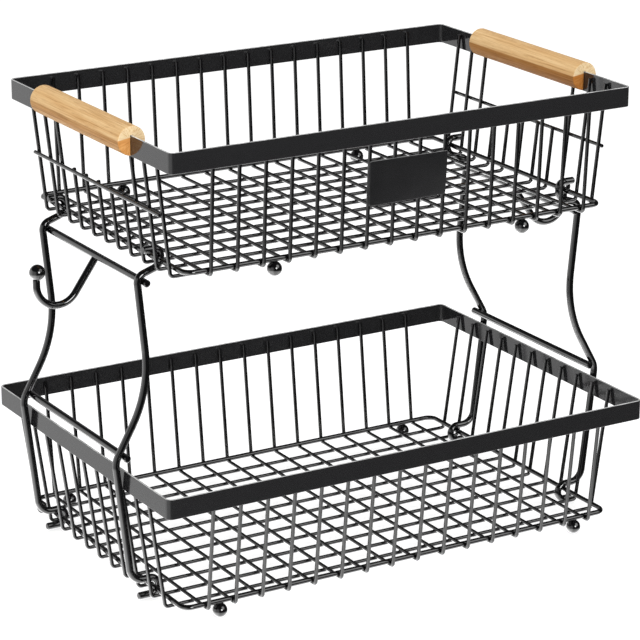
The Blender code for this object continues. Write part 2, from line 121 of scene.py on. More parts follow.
# Upper end: a sloping run under the upper ring, and a curl round it
UPPER_RUN_SLOPE = math.radians(18.5)
UPPER_RUN_DROP = 0.0026
UPPER_RUN_LENGTH = 0.018
SHOULDER_BEND = 0.0068
UPPER_LOOP_BEND = 0.0084
UPPER_CURL = 0.0056
UPPER_STUB_RISE = 0.0064
UPPER_STUB_REACH = 0.0090
# Corners of the leg's path, counted from its lower end
KNEE = 4
WAIST = 5
SHOULDER = 6
LEG_SPACE = 0.0005
ROD_OVERHANG = 0.0023
LOWER_ROD_RISE = 0.0062
UPPER_ROD_DROP = 0.0055

# J hook, placed from the upper rod
HOOK_SLOPE = math.radians(35.2)
HOOK_BEND = 0.0172
HOOK_OFFSET = 0.001
HOOK_UPRIGHT_OUTSET = 0.0488
HOOK_TIP_OUTSET = 0.0479
HOOK_TIP_DROP = 0.0061

# Fineness
WIRE_SIDES = 16
HEAVY_WIRE_SIDES = 24
BEND_STEP = math.radians(9)
LONG_BEND_STEP = math.radians(3)
RING_CORNER_STEPS = 10
STRIP_CORNER_STEPS = 12
SMOOTH_ANGLE = math.radians(40)
MERGE_DISTANCE = 0.00001
# Chamfer of a wire's tip, as a share of its diameter
TIP_SHARE = 0.12
# Eased edges
EASE_STEPS = 4
EASE_ANGLE = math.radians(50)
STRIP_EASE = 0.00045
PLATE_EASE = 0.0004
HANDLE_EASE = 0.0007
# Sides and rings of the balls, and sides of the dowel
FOOT_SIDES = 32
FOOT_RINGS = 20
HOOK_BALL_SIDES = 40
HOOK_BALL_RINGS = 24
DOWEL_SIDES = 72
DOWEL_SMOOTH_ANGLE = math.radians(25)
# Panels that the plate is divided into each way, so that it can bow
PLATE_PANELS = 8
# Closest that a cut's plane may lie to a vertex without taking it in
CUT_DISTANCE = 0.000001
# Collar of weld on a ball foot: its start as a share of the radius, its rise and its narrowing
COLLAR_START = 0.86
COLLAR_RISE = 0.0006
COLLAR_SHARE = 0.82
# Where the hook ball's flat seat starts, as a share of its radius
BALL_SEAT_SHARE = 0.93

# Cloudy wear of the coat, and the glue joint of the dowel's two staves above its axis; below it the
# wood is darker, a real stave on the sawn ends and painted shade on the sides
CLOUD_SIZE = 0.018
JOINT_TILT = 0.15
JOINT_TOP = 0.0029
JOINT_FOOT = 0.0023

# Camera, solved from the straight edges of the rims and rings
CAMERA_PLACE = (-1.0673, -1.80806, 0.85241)
CAMERA_TILT = math.radians(90 - 18.06)
CAMERA_TURN = math.radians(-30.587)
PHOTO_PIXELS = 640
FOCAL_PIXELS = 2816.54
SENSOR_MM = 36

# Point that every lamp is turned to
LIT_POINT = (0, 0, 0.2)
# What the gloss mirrors, as directions from the rack
LEFT = (-0.861, 0.509, 0)
SMALL_LAMP = (0.057, -0.969, 0.242)
RIGHT_BOX = (0.488, -0.675, 0.553)


# Modelling steps


def only(piece):
    """Object mode, with this piece alone selected and active."""
    if bpy.context.object and bpy.context.object.mode != "OBJECT":
        bpy.ops.object.mode_set(mode="OBJECT")
    bpy.ops.object.select_all(action="DESELECT")
    if piece is not None:
        piece.select_set(True)
        bpy.context.view_layer.objects.active = piece


def new_piece(name):
    """Names the primitive just added and settles its place in its mesh."""
    piece = bpy.context.object
    piece.name = name
    bpy.ops.object.transform_apply(location=True, rotation=True, scale=True)
    return piece


def pick(piece, kind, test):
    """In edit mode, selects just the edges or faces that pass the test."""
    bpy.ops.mesh.select_mode(type=kind)
    bpy.ops.mesh.select_all(action="DESELECT")
    mesh = bmesh.from_edit_mesh(piece.data)
    mesh.normal_update()
    for part in {"EDGE": mesh.edges, "FACE": mesh.faces}[kind]:
        if test(part):
            part.select_set(True)
    mesh.select_flush_mode()
    bmesh.update_edit_mesh(piece.data)


def middle(edge):
    return (edge.verts[0].co + edge.verts[1].co) / 2


def bevel_modifier(piece, width):
    """Eases the edges, but not the round corners."""
    only(piece)
    bevel = piece.modifiers.new("Bevel", "BEVEL")
    bevel.width = width
    bevel.segments = EASE_STEPS
    bevel.limit_method = "ANGLE"
    bevel.angle_limit = EASE_ANGLE
    bpy.ops.object.modifier_apply(modifier=bevel.name)


def smooth(piece, angle=SMOOTH_ANGLE):
    only(piece)
    bpy.ops.object.shade_smooth_by_angle(angle=angle)


def even_faces(piece):
    """Shades broad faces evenly, right up to their eased edges."""
    only(piece)
    weigh = piece.modifiers.new("Even", "WEIGHTED_NORMAL")
    weigh.mode = "FACE_AREA"
    weigh.keep_sharp = True
    bpy.ops.object.modifier_apply(modifier=weigh.name)


def outward(piece):
    """Closes the seams and turns every face to the outside."""
    only(piece)
    bpy.ops.object.mode_set(mode="EDIT")
    bpy.ops.mesh.select_all(action="SELECT")
    bpy.ops.mesh.remove_doubles(threshold=MERGE_DISTANCE)
    bpy.ops.mesh.normals_make_consistent(inside=False)
    bpy.ops.object.mode_set(mode="OBJECT")


def copy_of(piece, name, offset, mirror=False):
    """A copy with its own mesh, moved, and for the left end turned over across the middle."""
    only(piece)
    bpy.ops.object.duplicate(linked=False)
    twin = bpy.context.object
    twin.name = name
    twin.location = offset
    if mirror:
        twin.scale.x = -1
    bpy.ops.object.transform_apply(location=True, rotation=True, scale=True)
    if mirror:
        outward(twin)
    return twin


def join(pieces, name):
    only(pieces[0])
    for piece in pieces[1:]:
        piece.select_set(True)
    bpy.ops.object.join()
    pieces[0].name = name
    return pieces[0]


def finish_piece(piece, material, slot, *nodes):
    """Gives the piece its finish, attaches it to the body and hides the CAD nodes that it stands for.
    """
    piece.data.materials.clear()
    piece.data.materials.append(material)
    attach(piece, BODY)
    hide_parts(*nodes)


def bend_wire(name, corners, radii, diameter, sides=WIRE_SIDES, step=BEND_STEP):
    """Round wire: a circle with a chamfered tip, pulled along each run and swung round each bend."""
    diameter += WELD_FILL
    start = corners[0]
    ahead = (corners[1] - start).normalized()
    tip = diameter * TIP_SHARE
    only(None)
    bpy.ops.mesh.primitive_circle_add(
        vertices=sides,
        radius=diameter / 2 - tip,
        fill_type="NGON",
        location=start,
        rotation=ahead.to_track_quat("Z", "Y").to_euler(),
    )
    wire = new_piece(name)
    bpy.ops.object.mode_set(mode="EDIT")
    bpy.ops.mesh.select_all(action="SELECT")
    bpy.ops.mesh.flip_normals()
    pull(ahead * tip)
    here = start + ahead * tip
    swell(diameter / (diameter - 2 * tip), here)
    for index in range(1, len(corners) - 1):
        corner = corners[index]
        before = (corner - corners[index - 1]).normalized()
        after = (corners[index + 1] - corner).normalized()
        turn = before.angle(after)
        reach = radii[index] * math.tan(turn / 2)
        bend_start = corner - before * reach
        pull(bend_start - here)
        inward = (after - before * after.dot(before)).normalized()
        bpy.ops.mesh.spin(
            steps=max(3, math.ceil(turn / step)),
            angle=-turn,
            center=bend_start + inward * radii[index],
            axis=before.cross(after).normalized(),
        )
        here = corner + after * reach
    last = (corners[-1] - corners[-2]).normalized()
    pull(corners[-1] - last * tip - here)
    pull(last * tip)
    swell((diameter - 2 * tip) / diameter, corners[-1])
    outward(wire)
    smooth(wire)
    return wire


def pull(offset):
    """Extrudes the selected end."""
    bpy.ops.mesh.extrude_region_move(TRANSFORM_OT_translate={"value": offset})


def swell(share, centre):
    """Scales the selected end about its centre."""
    bpy.ops.transform.resize(value=(share, share, share), center_override=centre)


def bend_ring(name, length, width, radius, diameter, level):
    """Closed rounded rectangle of wire, pulled and swung round until it meets its own start."""
    half_length = length / 2
    half_width = width / 2
    only(None)
    bpy.ops.mesh.primitive_circle_add(
        vertices=HEAVY_WIRE_SIDES,
        radius=diameter / 2,
        fill_type="NOTHING",
        location=(half_length, radius - half_width, level),
        rotation=(math.pi / 2, 0, 0),
    )
    ring = new_piece(name)
    bpy.ops.object.mode_set(mode="EDIT")
    bpy.ops.mesh.select_all(action="SELECT")
    runs = [
        ((0, width - 2 * radius, 0), (half_length - radius, half_width - radius, level)),
        ((2 * radius - length, 0, 0), (radius - half_length, half_width - radius, level)),
        ((0, 2 * radius - width, 0), (radius - half_length, radius - half_width, level)),
        ((length - 2 * radius, 0, 0), (half_length - radius, radius - half_width, level)),
    ]
    for run, centre in runs:
        pull(run)
        bpy.ops.mesh.spin(
            steps=RING_CORNER_STEPS, angle=-math.pi / 2, center=centre, axis=(0, 0, 1)
        )
    outward(ring)
    smooth(ring)
    return ring


# Places that follow from the sizes


def evenly(count, pitch, centre=0):
    return [centre + (index - (count - 1) / 2) * pitch for index in range(count)]


def measure(basket):
    """Levels and places of a basket's wires, as the CAD has them."""
    length, width = basket["rim"]
    end_flare, side_flare = basket["flare"]
    basket["ring"] = (length - 2 * end_flare, width - 2 * side_flare)
    basket["top"] = basket["level"] + basket["height"]
    basket["bottom"] = basket["top"] - STRIP_HEIGHT
    basket["wire_top"] = basket["top"] - WIRE_TOP_INSET
    basket["ball"] = basket["level"] + FOOT_BALL / 2 - FOOT_FLAT
    basket["ring_level"] = basket["ball"] + FOOT_BALL / 2 - FOOT_SEAT + RING_WIRE / 2
    beside = (RING_WIRE + THIN_WIRE) / 2
    basket["cross_level"] = basket["ring_level"] - beside + RING_SINK
    basket["side_level"] = basket["cross_level"] - THIN_WIRE - GAP
    basket["side_foot"] = basket["ring"][0] / 2 + beside + GAP
    basket["cross_foot"] = basket["ring"][1] / 2 + beside + GAP
    behind_strip = STRIP_THICKNESS + GAP + THIN_WIRE / 2
    basket["side_head"] = length / 2 - behind_strip
    basket["cross_head"] = width / 2 - behind_strip
    cross_pitch = (basket["ring"][0] - 2 * WIRE_INSET) / (CROSS_WIRES - 1)
    basket["cross_places"] = evenly(CROSS_WIRES, cross_pitch)
    basket["foot_x"] = basket["cross_places"][-1] - basket["foot_pitches"] * cross_pitch
    side_pitch = (basket["ring"][1] - 2 * WIRE_INSET) / (SIDE_WIRES - 1)
    basket["side_places"] = evenly(SIDE_WIRES, side_pitch, basket["side_shift"])


def side_reach(basket, height):
    """How far out the side wires stand at a height."""
    share = (height - basket["side_level"]) / (basket["wire_top"] - basket["side_level"])
    return basket["side_foot"] + (basket["side_head"] - basket["side_foot"]) * share


for each in BASKETS.values():
    measure(each)
LOWER = BASKETS["lower"]
UPPER = BASKETS["upper"]

LEG_TO_WIRE = (LEG_WIRE + THIN_WIRE) / 2 + GAP
FRONT_LEG = sum(sum(each["side_places"][1:3]) for each in BASKETS.values()) / 4
REAR_LEG = LOWER["side_places"][-2] - LEG_TO_WIRE - LEG_SPACE
BRACKET_MIDDLE = (FRONT_LEG + REAR_LEG) / 2


def leg_path():
    """Corners and bend radii of a leg on the right, as (out, up, radius), from its lower end."""
    seat = (RING_WIRE + LEG_WIRE) / 2 + GAP
    ring_out = LOWER["ring"][0] / 2
    run = LOWER["ring_level"] + seat
    stub = run - 2 * LOWER_CURL
    slope = UPPER_RUN_SLOPE
    upper_out = UPPER["ring"][0] / 2
    curl_out = upper_out - seat
    curl_top = UPPER["ring_level"] + UPPER_STUB_RISE
    below = seat + UPPER_RUN_DROP
    run_start = (
        upper_out - below * math.sin(slope),
        UPPER["ring_level"] - below * math.cos(slope),
    )
    run_foot = run_start[1] + (run_start[0] - curl_out) * math.tan(slope)
    knee = (LOWER["rim"][0] / 2 + KNEE_OUTSET, LOWER["top"] + KNEE_RISE)
    shoulder = (
        run_start[0] + UPPER_RUN_LENGTH * math.cos(slope),
        run_start[1] - UPPER_RUN_LENGTH * math.sin(slope),
    )
    waist = (
        upper_out + WAIST_REACH,
        knee[1] + (shoulder[1] - knee[1]) * WAIST_HEIGHT_SHARE,
    )
    return [
        (ring_out + LOWER_STUB_REACH, stub, 0),
        (ring_out - LOWER_CURL, stub, LOWER_CURL),
        (ring_out - LOWER_CURL, run, LOWER_CURL),
        (ring_out + LOWER_RUN_REACH, run, LOWER_BEND),
        (*knee, KNEE_BEND),
        (*waist, WAIST_BEND),
        (*shoulder, SHOULDER_BEND),
        (curl_out, run_foot, UPPER_LOOP_BEND),
        (curl_out, curl_top, UPPER_CURL),
        (upper_out + UPPER_STUB_REACH, curl_top, 0),
    ]


def rod_axis(corner, toward, distance):
    """Place of a rod on the inner side of the legs, as (out, up)."""
    points = [Vector((out, up)) for out, up, radius in leg_path()]
    along = (points[toward] - points[corner]).normalized()
    inward = Vector((-abs(along.y), along.x * math.copysign(1, along.y)))
    return points[corner] + along * distance + inward * (LEG_WIRE + GAP)


LOWER_ROD = rod_axis(KNEE, WAIST, LOWER_ROD_RISE)
UPPER_ROD = rod_axis(SHOULDER, WAIST, UPPER_ROD_DROP)
HANDLE_OUT = (UPPER["rim"][0] - STRIP_THICKNESS) / 2
HANDLE_LEVEL = UPPER["bottom"] + HANDLE_LIFT + HANDLE_DIAMETER / 2


# Finishes


def hex_color(value):
    """The linear colour of an sRGB hex value."""
    parts = [int(value[index : index + 2], 16) / 255 for index in (1, 3, 5)]
    return [p / 12.92 if p <= 0.04045 else ((p + 0.055) / 1.055) ** 2.4 for p in parts] + [1]


def add_node(tree, kind, inputs=(), **settings):
    """Adds a node with its settings; an input is a plain value, or the socket that feeds it."""
    node = tree.nodes.new(kind)
    for name, value in settings.items():
        setattr(node, name, value)
    for name, value in dict(inputs).items():
        if isinstance(value, bpy.types.NodeSocket):
            tree.links.new(value, node.inputs[name])
        else:
            node.inputs[name].default_value = value
    return node


def new_finish(name):
    finish = bpy.data.materials.new(name)
    finish.use_nodes = True
    return finish, finish.node_tree, finish.node_tree.nodes["Principled BSDF"]


def feed(tree, shader, **sockets):
    """Sets or links the shader's inputs; an underscore stands for a space in a socket's name."""
    for name, value in sockets.items():
        socket = shader.inputs[name.replace("_", " ")]
        if isinstance(value, bpy.types.NodeSocket):
            tree.links.new(value, socket)
        else:
            socket.default_value = value


def ramp(tree, factor, stops):
    """A colour ramp whose stops are a place and an sRGB hex value."""
    node = add_node(tree, "ShaderNodeValToRGB", {"Fac": factor})
    while len(node.color_ramp.elements) < len(stops):
        node.color_ramp.elements.new(0.5)
    for element, (place, color) in zip(node.color_ramp.elements, stops):
        element.position = place
        element.color = hex_color(color)
    return node.outputs["Color"]


def coated_steel(name, color, worn, roughness, peel_mm, peel_depth, reflection, top_highlight=None):
    """Epoxy-coated steel: a deep black with the faint ripple of a sprayed coat and a few rubbed edges.

    Faces that look upward, along the top edges of strip and sheet, can get a lighter colour: a painted
    highlight, in cloudy patches.
    """
    finish, tree, shader = new_finish(name)
    place = add_node(tree, "ShaderNodeTexCoord").outputs["Object"]
    peel = add_node(
        tree,
        "ShaderNodeTexNoise",
        {"Vector": place, "Scale": 1 / (peel_mm * 0.001), "Detail": 2, "Roughness": 0.45},
    ).outputs["Fac"]
    cloud = add_node(
        tree,
        "ShaderNodeTexNoise",
        {"Vector": place, "Scale": 1 / CLOUD_SIZE, "Detail": 4, "Roughness": 0.6},
    ).outputs["Fac"]
    edge = add_node(tree, "ShaderNodeNewGeometry").outputs["Pointiness"]
    rubbed = add_node(
        tree,
        "ShaderNodeMapRange",
        {"Value": edge, "From Min": 0.56, "From Max": 0.70, "To Min": 0, "To Max": 0.5},
    ).outputs["Result"]
    base = add_node(
        tree,
        "ShaderNodeMix",
        {"Factor": rubbed, "A": hex_color(color), "B": hex_color(worn)},
        data_type="RGBA",
    )
    base_color = base.outputs[2]
    # Painted highlight: faces that look upward are lightened towards the highlight colour
    if top_highlight:
        facing = add_node(tree, "ShaderNodeNewGeometry").outputs["Normal"]
        upward = add_node(tree, "ShaderNodeSeparateXYZ", {"Vector": facing}).outputs["Z"]
        on_edge = add_node(
            tree, "ShaderNodeMapRange", {"Value": upward, "From Min": 0.40, "From Max": 0.75}
        ).outputs["Result"]
        # Cloudy strength of the painted highlight, not a thinner coat
        thin = add_node(
            tree,
            "ShaderNodeMapRange",
            {"Value": cloud, "From Min": 0.35, "From Max": 0.6, "To Min": 0.55, "To Max": 1.0},
        ).outputs["Result"]
        painted_top_highlight = add_node(
            tree, "ShaderNodeMath", {0: on_edge, 1: thin}, operation="MULTIPLY"
        ).outputs[0]
        base_color = add_node(
            tree,
            "ShaderNodeMix",
            {"Factor": painted_top_highlight, "A": base_color, "B": hex_color(top_highlight)},
            data_type="RGBA",
        ).outputs[2]
    rough = add_node(
        tree,
        "ShaderNodeMapRange",
        {
            "Value": cloud,
            "From Min": 0.3,
            "From Max": 0.7,
            "To Min": roughness * 0.75,
            "To Max": roughness * 1.3,
        },
    ).outputs["Result"]
    bump = add_node(
        tree,
        "ShaderNodeBump",
        {"Height": peel, "Strength": 0.35, "Distance": peel_depth * 0.001},
    ).outputs["Normal"]
    feed(
        tree,
        shader,
        Base_Color=base_color,
        Roughness=rough,
        Normal=bump,
        IOR=1.5,
        Coat_Weight=reflection,
        Coat_Roughness=roughness * 0.6,
        Coat_IOR=1.5,
    )
    return finish


def dowel_wood():
    """Glued dowel, oiled and left matt: pale tan with one more orange stave, whose darker tone on the
    sides is also painted shade on the lower half.

    Its grain is long and fine, and fine rays run out from the middle of its sawn ends.
    """
    finish, tree, shader = new_finish("oiled_rubberwood")
    place = add_node(tree, "ShaderNodeTexCoord").outputs["Object"]
    axes = add_node(tree, "ShaderNodeSeparateXYZ", {"Vector": place}).outputs

    def math_node(operation, first, second=0.0, third=0.0):
        inputs = {0: first, 1: second, 2: third}
        return add_node(tree, "ShaderNodeMath", inputs, operation=operation).outputs[0]

    def grain(width_mm, length_mm, detail, roughness):
        """Noise drawn out along the dowel, which runs along Y."""
        narrow = 1000 / width_mm
        space = add_node(
            tree,
            "ShaderNodeMapping",
            {"Vector": place, "Scale": (narrow, 1000 / length_mm, narrow)},
        ).outputs["Vector"]
        inputs = {"Vector": space, "Scale": 1, "Detail": detail, "Roughness": roughness}
        return add_node(tree, "ShaderNodeTexNoise", inputs).outputs["Fac"]

    def mixed(factor, first, second, blend="MIX"):
        inputs = {"Factor": factor, "A": first, "B": second}
        return add_node(
            tree, "ShaderNodeMix", inputs, data_type="RGBA", blend_type=blend
        ).outputs[2]

    streaks = grain(1.2, 60, 5, 0.65)
    bands = grain(7, 150, 3, 0.5)
    pores = grain(0.45, 14, 2, 0.7)

    # Place across the dowel, measured from its own axis, which both handles have at the same height
    end_of_rack = math_node("SIGN", axes["X"])
    out = math_node("MULTIPLY_ADD", end_of_rack, -HANDLE_OUT, axes["X"])
    up = math_node("SUBTRACT", axes["Z"], HANDLE_LEVEL)
    above_joint = math_node("MULTIPLY_ADD", out, -JOINT_TILT, up)
    below_joint = add_node(
        tree,
        "ShaderNodeMapRange",
        {"Value": above_joint, "From Min": JOINT_TOP, "From Max": JOINT_FOOT},
    ).outputs["Result"]
    # Below the joint: on the sawn ends a real orange stave, on the sides also painted shade on the
    # dowel's lower half
    lower_stave_and_shade = math_node("MULTIPLY", below_joint, math_node("LESS_THAN", out, 0))

    pale = ramp(tree, streaks, [(0.32, "#c69b65"), (0.47, "#dfba87"), (0.68, "#eacb99")])
    warm = ramp(tree, streaks, [(0.32, "#9c7347"), (0.48, "#bd925f"), (0.68, "#cea470")])
    side = mixed(lower_stave_and_shade, pale, warm)
    side = mixed(0.5, side, ramp(tree, bands, [(0.36, "#e6cfae"), (0.60, "#ffffff")]), "MULTIPLY")
    side = mixed(0.35, side, ramp(tree, pores, [(0.32, "#a8763f"), (0.44, "#ffffff")]), "MULTIPLY")

    # The sawn ends face along Y: lighter, with fine rays that run out from the middle
    angle = math_node("ARCTAN2", up, out)
    ray_space = add_node(
        tree, "ShaderNodeCombineXYZ", {"X": angle, "Y": math_node("MULTIPLY", up, 40)}
    ).outputs["Vector"]
    rays = add_node(
        tree, "ShaderNodeTexNoise", {"Vector": ray_space, "Scale": 9, "Detail": 3, "Roughness": 0.6}
    ).outputs["Fac"]
    pale_end = ramp(tree, rays, [(0.36, "#dcb682"), (0.52, "#eed3a6"), (0.7, "#f3ddb6")])
    warm_end = ramp(tree, rays, [(0.36, "#c98444"), (0.52, "#dd9c58"), (0.7, "#e9b473")])
    facing = add_node(tree, "ShaderNodeNewGeometry").outputs["True Normal"]
    along = add_node(tree, "ShaderNodeSeparateXYZ", {"Vector": facing}).outputs["Y"]
    sawn_end = add_node(
        tree,
        "ShaderNodeMapRange",
        {"Value": math_node("ABSOLUTE", along), "From Min": 0.75, "From Max": 0.95},
    ).outputs["Result"]
    color = mixed(sawn_end, side, mixed(lower_stave_and_shade, pale_end, warm_end))
    # Painted shade: the lower part of the right handle is darkened further
    right_painted_shade = math_node("MULTIPLY", lower_stave_and_shade, math_node("GREATER_THAN", end_of_rack, 0))
    color = mixed(right_painted_shade, color, hex_color("#e4d2b6"), "MULTIPLY")

    rough = add_node(
        tree,
        "ShaderNodeMapRange",
        {"Value": streaks, "From Min": 0.3, "From Max": 0.7, "To Min": 0.66, "To Max": 0.54},
    ).outputs["Result"]
    bump = add_node(
        tree, "ShaderNodeBump", {"Height": pores, "Strength": 0.25, "Distance": 0.0002}
    ).outputs["Normal"]
    feed(
        tree,
        shader,
        Base_Color=color,
        Roughness=rough,
        Normal=bump,
        IOR=1.5,
        Specular_IOR_Level=0.15,
    )
    return finish


# Wires: gloss epoxy coat, which gives a wet black with long light streaks
wire_finish = coated_steel("gloss_epoxy_coat_on_wire", "#09090a", "#242425", 0.08, 1.4, 0.012, 0.9)
# Strip: the same coat on a flat face, which mirrors its surroundings with a faint ripple
# Its upward faces get a near-white painted highlight along the top edges
strip_finish = coated_steel(
    "gloss_epoxy_coat_on_strip", "#242425", "#3a3a3b", 0.10, 7.0, 0.006, 0.45, top_highlight="#e6e6e6"
)
# Plate: a slightly duller coat on sheet
# Its upward faces get a light grey painted highlight along the top edge
plate_finish = coated_steel(
    "satin_epoxy_coat_on_sheet", "#1f1f20", "#3a3a3b", 0.18, 6.0, 0.006, 0.35, top_highlight="#7c7c7c"
)
# Handles: pale matt wood, the one warm tone beside the black
wood_finish = dowel_wood()


# Rims


def make_rim(tier):
    """A hoop cut from a box, its corners rounded, given the strip's thickness and eased edges."""
    basket = BASKETS[tier]
    length, width = basket["rim"]
    only(None)
    bpy.ops.mesh.primitive_cube_add(
        size=1,
        location=(0, 0, (basket["top"] + basket["bottom"]) / 2),
        scale=(length, width, STRIP_HEIGHT),
    )
    rim = new_piece(f"{tier}_rim")
    bpy.ops.object.mode_set(mode="EDIT")
    pick(rim, "FACE", lambda face: abs(face.normal.z) > 0.9)
    bpy.ops.mesh.delete(type="ONLY_FACE")
    pick(rim, "EDGE", lambda edge: abs(edge.verts[0].co.z - edge.verts[1].co.z) > 0.001)
    bpy.ops.mesh.bevel(
        offset=STRIP_CORNER, offset_type="OFFSET", segments=STRIP_CORNER_STEPS, affect="EDGES"
    )
    outward(rim)
    wall = rim.modifiers.new("Solidify", "SOLIDIFY")
    wall.thickness = STRIP_THICKNESS
    wall.offset = -1
    wall.use_even_offset = True
    bpy.ops.object.modifier_apply(modifier=wall.name)
    bevel_modifier(rim, STRIP_EASE)
    smooth(rim)
    even_faces(rim)
    finish_piece(rim, strip_finish, "strip_paint", f"{tier}_rim_band")


# Bottom ring and wires


def basket_side(head, foot, bottom, top):
    """Corners of a wire that runs down one side, under the floor and up the other side."""
    return [(-head, top), (-foot, bottom), (foot, bottom), (head, top)]


def make_cross_wires(tier):
    """Bottom ring with the wires that run from front to back, as one piece."""
    basket = BASKETS[tier]
    points = [
        Vector((0, out, up))
        for out, up in basket_side(
            basket["cross_head"], basket["cross_foot"], basket["cross_level"], basket["wire_top"]
        )
    ]
    first = bend_wire(f"{tier}_cross_wire", points, [0, WIRE_BEND, WIRE_BEND, 0], THIN_WIRE)
    wires = [
        copy_of(first, f"{tier}_cross_wire_{index}", (place, 0, 0))
        for index, place in enumerate(basket["cross_places"])
    ]
    bpy.data.objects.remove(first, do_unlink=True)
    ring = bend_ring(
        f"{tier}_ring", *basket["ring"], RING_CORNER, RING_WIRE, basket["ring_level"]
    )
    frame_piece = join([ring, *wires], f"{tier}_floor_frame")
    finish_piece(frame_piece, wire_finish, "wire_paint", f"{tier}_ring_and_cross_wires")


def make_side_wires(tier, short_top=None):
    """Wires that run from left to right; with a short top, the middle ones end there."""
    basket = BASKETS[tier]

    def side_wire(top):
        corners = basket_side(
            side_reach(basket, top), basket["side_foot"], basket["side_level"], top
        )
        points = [Vector((out, 0, up)) for out, up in corners]
        return bend_wire(f"{tier}_side_wire", points, [0, WIRE_BEND, WIRE_BEND, 0], THIN_WIRE)

    tall = side_wire(basket["wire_top"])
    short = side_wire(short_top) if short_top else tall
    first_short = (SIDE_WIRES - SHORT_WIRES) // 2
    for index, place in enumerate(basket["side_places"]):
        is_short = short_top and first_short <= index < first_short + SHORT_WIRES
        source = short if is_short else tall
        wire = copy_of(source, f"{tier}_side_wire_piece_{index + 1:02d}", (0, place, 0))
        finish_piece(wire, wire_finish, "wire_paint", f"{tier}_side_wire_{index + 1:02d}")
    for source in {tall, short}:
        bpy.data.objects.remove(source, do_unlink=True)


def make_feet(tier):
    """Ball feet: a sphere with a flat stand and a low collar of weld where the ring sits in it."""
    basket = BASKETS[tier]
    radius = FOOT_BALL / 2
    only(None)
    bpy.ops.mesh.primitive_uv_sphere_add(
        segments=FOOT_SIDES,
        ring_count=FOOT_RINGS,
        radius=radius,
        location=(0, 0, basket["ball"]),
    )
    ball = new_piece(f"{tier}_ball")
    bpy.ops.object.mode_set(mode="EDIT")
    bpy.ops.mesh.select_all(action="SELECT")
    bpy.ops.mesh.bisect(
        plane_co=(0, 0, basket["level"]),
        plane_no=(0, 0, 1),
        use_fill=True,
        clear_inner=True,
        threshold=CUT_DISTANCE,
    )
    crown = basket["ball"] + radius * COLLAR_START
    pick(ball, "FACE", lambda face: face.calc_center_median().z > crown)
    pull((0, 0, COLLAR_RISE))
    bpy.ops.transform.resize(
        value=(COLLAR_SHARE, COLLAR_SHARE, 1), center_override=(0, 0, crown)
    )
    outward(ball)
    smooth(ball)
    for along, side in ((-1, "left"), (1, "right")):
        for across, end in ((-1, "front"), (1, "rear")):
            place = (along * basket["foot_x"], across * basket["ring"][1] / 2, 0)
            foot = copy_of(ball, f"{tier}_ball_{end}_{side}", place)
            finish_piece(foot, wire_finish, "wire_paint", f"{tier}_foot_{end}_{side}")
    bpy.data.objects.remove(ball, do_unlink=True)


# Handles, guards and plate


def make_cutter(low_corner, high_corner):
    low_corner = Vector(low_corner)
    high_corner = Vector(high_corner)
    only(None)
    bpy.ops.mesh.primitive_cube_add(
        size=1, location=(low_corner + high_corner) / 2, scale=high_corner - low_corner
    )
    return new_piece("cutter")


def cut(piece, cutter):
    only(piece)
    step = piece.modifiers.new("Cut", "BOOLEAN")
    step.operation = "DIFFERENCE"
    step.solver = "EXACT"
    step.object = cutter
    bpy.ops.object.modifier_apply(modifier=step.name)
    bpy.data.objects.remove(cutter, do_unlink=True)


def make_handle(side, word):
    """Dowel with eased ends, slotted for the strip and pocketed for the two tall wires beside it."""
    centre = side * HANDLE_OUT
    level = HANDLE_LEVEL
    only(None)
    bpy.ops.mesh.primitive_cylinder_add(
        vertices=DOWEL_SIDES,
        radius=HANDLE_DIAMETER / 2,
        depth=HANDLE_LENGTH,
        location=(centre, 0, level),
        rotation=(math.pi / 2, 0, 0),
    )
    handle = new_piece(f"{word}_dowel")
    bpy.ops.object.mode_set(mode="EDIT")
    half = HANDLE_LENGTH / 2
    pick(handle, "EDGE", lambda edge: abs(abs(middle(edge).y) - half) < 0.0001)
    bpy.ops.mesh.bevel(
        offset=HANDLE_EASE, offset_type="OFFSET", segments=EASE_STEPS, affect="EDGES"
    )
    outward(handle)
    under = level - HANDLE_DIAMETER
    half_slot = STRIP_THICKNESS / 2 + GAP
    cut(
        handle,
        make_cutter(
            (centre - half_slot, -HANDLE_LENGTH, under),
            (centre + half_slot, HANDLE_LENGTH, UPPER["top"] + GAP),
        ),
    )
    half_pocket = THIN_WIRE / 2 + GAP
    inner = side_reach(UPPER, level - HANDLE_DIAMETER / 2) - half_pocket
    edges = sorted((side * inner, centre))
    for place in UPPER["side_places"]:
        if HANDLE_LENGTH / 2 + half_pocket > abs(place) > FIRST_POCKET:
            cut(
                handle,
                make_cutter(
                    (edges[0], place - half_pocket, under),
                    (edges[1], place + half_pocket, UPPER["wire_top"] + GAP),
                ),
            )
    smooth(handle, DOWEL_SMOOTH_ANGLE)
    even_faces(handle)
    finish_piece(handle, wood_finish, "handle_wood", f"{word}_handle")


def make_guard(side, word):
    """Straight wire outside the side wires, at the level where the short ones end."""
    height = UPPER["level"] + GUARD_HEIGHT
    lean = math.atan2(
        UPPER["side_head"] - UPPER["side_foot"], UPPER["wire_top"] - UPPER["side_level"]
    )
    out = side * (side_reach(UPPER, height) + (THIN_WIRE + GAP) / math.cos(lean))
    past = THIN_WIRE / 2
    ends = [
        Vector((out, UPPER["side_places"][0] - past, height)),
        Vector((out, UPPER["side_places"][-1] + past, height)),
    ]
    guard = bend_wire(f"{word}_guard", ends, [0, 0], THIN_WIRE)
    finish_piece(guard, wire_finish, "wire_paint", f"{word}_guard_wire")


